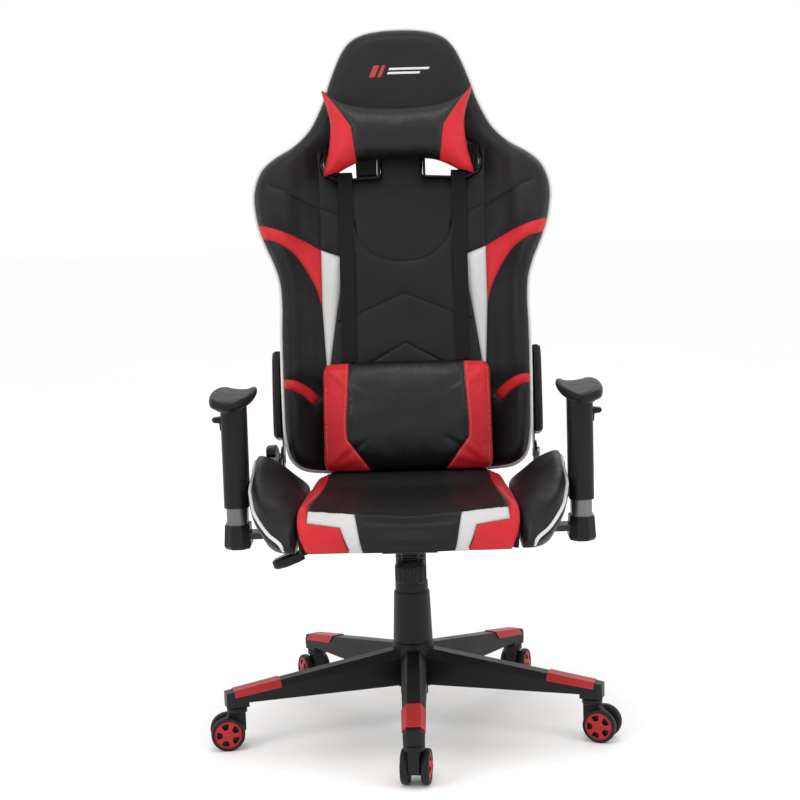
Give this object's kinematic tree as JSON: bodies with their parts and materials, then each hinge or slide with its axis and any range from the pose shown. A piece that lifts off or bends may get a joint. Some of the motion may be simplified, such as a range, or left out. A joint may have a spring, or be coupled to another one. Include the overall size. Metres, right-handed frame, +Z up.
{
  "type": "gaming chair",
  "caption": "High-back racing-style swivel chair with winged seat and reclining backrest, head and lumbar pillows, height-adjustable arms, gas lift and a star base on twin-wheel casters.",
  "frame": {"origin": "on the floor at the middle of the chair's footprint, on the gas column's axis", "axes": "+Z up, -Y the way the sitter faces, +X the sitter's left"},
  "size_m": [0.7305, 0.7013, 1.2853],
  "materials": {
    "black_nylon": "moulded, fine grain",
    "black_plastic": "moulded, fine grain",
    "red_plastic": "gloss",
    "black_steel": "satin powder coat",
    "grey_steel": "satin",
    "bright_steel": "ground",
    "plywood": "raw board",
    "black_leather": "grained polyurethane leather",
    "red_leather": "grained polyurethane leather",
    "webbing": "woven elastic",
    "pu_pad": "soft polyurethane skin",
    "caster_wheel": "moulded, red disc in a black tread"
  },
  "bodies": {
    "base": {"star_base": "black_nylon", "leg_pads": "red_plastic", "gas_outer_tube": "black_steel", "lower_cover": "black_plastic"},
    "lift_rod": {"piston_rod": "bright_steel"},
    "column_head": {"gas_cylinder": "bright_steel", "top_cover": "black_plastic", "mechanism_housing": "black_steel", "tilt_pin": "bright_steel", "tension_spring": "bright_steel"},
    "mid_cover": {"middle_cover": "black_plastic"},
    "lever_bush": {"lever_bush": "black_plastic"},
    "lift_lever": {"lever_rod": "black_steel", "lever_paddle": "black_plastic"},
    "seat": {"seat_plate": "black_steel", "seat_pan": "plywood", "seat_cushion": "black_leather", "seat_bolsters": "black_leather", "hinge_brackets": "black_steel", "arm_brackets": "grey_steel", "arm_boots": "black_plastic", "seat_bolts": "black_steel", "hinge_pins": "bright_steel"},
    "tension_knob": {"tension_knob": "black_plastic", "tension_screw": "bright_steel"},
    "recline_lever": {"recline_handle": "black_plastic"},
    "back": {"back_frame": "black_steel", "back_shell": "black_leather", "back_brackets": "black_steel", "side_covers": "black_plastic", "strap_bezels": "black_plastic", "lumbar_pillow": "black_leather", "head_pillow": "red_leather", "lumbar_straps": "webbing"},
    "arm_left": {"arm_sleeve_left": "black_plastic", "arm_pad_left": "pu_pad"},
    "arm_right": {"arm_sleeve_right": "black_plastic", "arm_pad_right": "pu_pad"},
    "arm_button_left": {"arm_button_left": "black_plastic"},
    "arm_button_right": {"arm_button_right": "black_plastic"},
    "caster_1": {"caster_1_hood": "black_nylon", "caster_1_pins": "bright_steel"},
    "caster_1_roll_a": {"caster_1_wheel_a": "caster_wheel"},
    "caster_1_roll_b": {"caster_1_wheel_b": "caster_wheel"},
    "caster_2": {"caster_2_hood": "black_nylon", "caster_2_pins": "bright_steel"},
    "caster_2_roll_a": {"caster_2_wheel_a": "caster_wheel"},
    "caster_2_roll_b": {"caster_2_wheel_b": "caster_wheel"},
    "caster_3": {"caster_3_hood": "black_nylon", "caster_3_pins": "bright_steel"},
    "caster_3_roll_a": {"caster_3_wheel_a": "caster_wheel"},
    "caster_3_roll_b": {"caster_3_wheel_b": "caster_wheel"},
    "caster_4": {"caster_4_hood": "black_nylon", "caster_4_pins": "bright_steel"},
    "caster_4_roll_a": {"caster_4_wheel_a": "caster_wheel"},
    "caster_4_roll_b": {"caster_4_wheel_b": "caster_wheel"},
    "caster_5": {"caster_5_hood": "black_nylon", "caster_5_pins": "bright_steel"},
    "caster_5_roll_a": {"caster_5_wheel_a": "caster_wheel"},
    "caster_5_roll_b": {"caster_5_wheel_b": "caster_wheel"}
  },
  "joints": [
    {"name": "seat_swivel", "type": "hinge", "parent": "base", "child": "lift_rod", "pos_m": [0, 0, 0.06], "axis": [0, 0, 1], "continuous": true},
    {"name": "height_adjust", "type": "slide", "parent": "lift_rod", "child": "column_head", "axis": [0, 0, 1], "range_m": [-0.045, 0.035]},
    {"name": "mid_cover_slide", "type": "slide", "parent": "base", "child": "mid_cover", "axis": [0, 0, 1], "range_m": [-0.0225, 0.0175]},
    {"name": "seat_tilt", "type": "hinge", "parent": "column_head", "child": "seat", "pos_m": [0, -0.042, 0.36], "axis": [-1, 0, 0], "range_deg": [0, 12], "stiffness_Nm_per_rad": 260, "springref_deg": -20.05, "deforming": ["tension_spring"]},
    {"name": "tilt_lock_slide", "type": "slide", "parent": "column_head", "child": "lever_bush", "axis": [-1, 0, 0], "range_m": [0, 0.01]},
    {"name": "lift_lever_pull", "type": "hinge", "parent": "lever_bush", "child": "lift_lever", "pos_m": [-0.052, 0.005, 0.354], "axis": [0, 1, 0], "range_deg": [0, 8], "stiffness_Nm_per_rad": 3, "springref_deg": -17.19},
    {"name": "tension_knob_turn", "type": "hinge", "parent": "seat", "child": "tension_knob", "pos_m": [0, -0.09, 0.3], "axis": [0, 0, 1], "range_deg": [-360, 360]},
    {"name": "back_recline", "type": "hinge", "parent": "seat", "child": "back", "pos_m": [0, 0.215, 0.465], "axis": [-1, 0, 0], "range_deg": [0, 60]},
    {"name": "recline_handle_lift", "type": "hinge", "parent": "seat", "child": "recline_lever", "pos_m": [0, 0.172, 0.47], "axis": [-1, 0, 0], "range_deg": [0, 28], "stiffness_Nm_per_rad": 1, "springref_deg": -17.19},
    {"name": "arm_left_height", "type": "slide", "parent": "seat", "child": "arm_left", "axis": [0, 0, 1], "range_m": [-0.028, 0.03]},
    {"name": "arm_button_left_press", "type": "slide", "parent": "arm_left", "child": "arm_button_left", "axis": [0, 0, 1], "range_m": [0, 0.005], "stiffness_N_per_m": 400, "springref_m": -0.002},
    {"name": "arm_right_height", "type": "slide", "parent": "seat", "child": "arm_right", "axis": [0, 0, 1], "range_m": [-0.028, 0.03]},
    {"name": "arm_button_right_press", "type": "slide", "parent": "arm_right", "child": "arm_button_right", "axis": [0, 0, 1], "range_m": [0, 0.005], "stiffness_N_per_m": 400, "springref_m": -0.002},
    {"name": "caster_1_swivel", "type": "hinge", "parent": "base", "child": "caster_1", "pos_m": [0, -0.33, 0.09], "axis": [0, 0, 1], "continuous": true},
    {"name": "caster_1_spin_a", "type": "hinge", "parent": "caster_1", "child": "caster_1_roll_a", "pos_m": [-0.01631, -0.30953, 0.03], "axis": [-0.9903, 0.1392, 0], "continuous": true},
    {"name": "caster_1_spin_b", "type": "hinge", "parent": "caster_1", "child": "caster_1_roll_b", "pos_m": [0.02132, -0.31482, 0.03], "axis": [-0.9903, 0.1392, 0], "continuous": true},
    {"name": "caster_2_swivel", "type": "hinge", "parent": "base", "child": "caster_2", "pos_m": [0.31385, -0.10198, 0.09], "axis": [0, 0, 1], "continuous": true},
    {"name": "caster_2_spin_a", "type": "hinge", "parent": "caster_2", "child": "caster_2_roll_a", "pos_m": [0.33802, -0.09194, 0.03], "axis": [0.4067, 0.9135, 0], "continuous": true},
    {"name": "caster_2_spin_b", "type": "hinge", "parent": "caster_2", "child": "caster_2_roll_b", "pos_m": [0.32256, -0.12665, 0.03], "axis": [0.4067, 0.9135, 0], "continuous": true},
    {"name": "caster_3_swivel", "type": "hinge", "parent": "base", "child": "caster_3", "pos_m": [0.19397, 0.26698, 0.09], "axis": [0, 0, 1], "continuous": true},
    {"name": "caster_3_spin_a", "type": "hinge", "parent": "caster_3", "child": "caster_3_roll_a", "pos_m": [0.18227, 0.29039, 0.03], "axis": [-0.9397, 0.342, 0], "continuous": true},
    {"name": "caster_3_spin_b", "type": "hinge", "parent": "caster_3", "child": "caster_3_roll_b", "pos_m": [0.21798, 0.27739, 0.03], "axis": [-0.9397, 0.342, 0], "continuous": true},
    {"name": "caster_4_swivel", "type": "hinge", "parent": "base", "child": "caster_4", "pos_m": [-0.19397, 0.26698, 0.09], "axis": [0, 0, 1], "continuous": true},
    {"name": "caster_4_spin_a", "type": "hinge", "parent": "caster_4", "child": "caster_4_roll_a", "pos_m": [-0.21894, 0.27482, 0.03], "axis": [-0.8988, -0.4384, 0], "continuous": true},
    {"name": "caster_4_spin_b", "type": "hinge", "parent": "caster_4", "child": "caster_4_roll_b", "pos_m": [-0.18478, 0.29148, 0.03], "axis": [-0.8988, -0.4384, 0], "continuous": true},
    {"name": "caster_5_swivel", "type": "hinge", "parent": "base", "child": "caster_5", "pos_m": [-0.31385, -0.10198, 0.09], "axis": [0, 0, 1], "continuous": true},
    {"name": "caster_5_spin_a", "type": "hinge", "parent": "caster_5", "child": "caster_5_roll_a", "pos_m": [-0.32828, -0.12381, 0.03], "axis": [0.1736, -0.9848, 0], "continuous": true},
    {"name": "caster_5_spin_b", "type": "hinge", "parent": "caster_5", "child": "caster_5_roll_b", "pos_m": [-0.33487, -0.08639, 0.03], "axis": [0.1736, -0.9848, 0], "continuous": true}
  ],
  "couplings": [
    {"joint": "mid_cover_slide", "follows": "height_adjust", "ratio": 0.5}
  ]
}
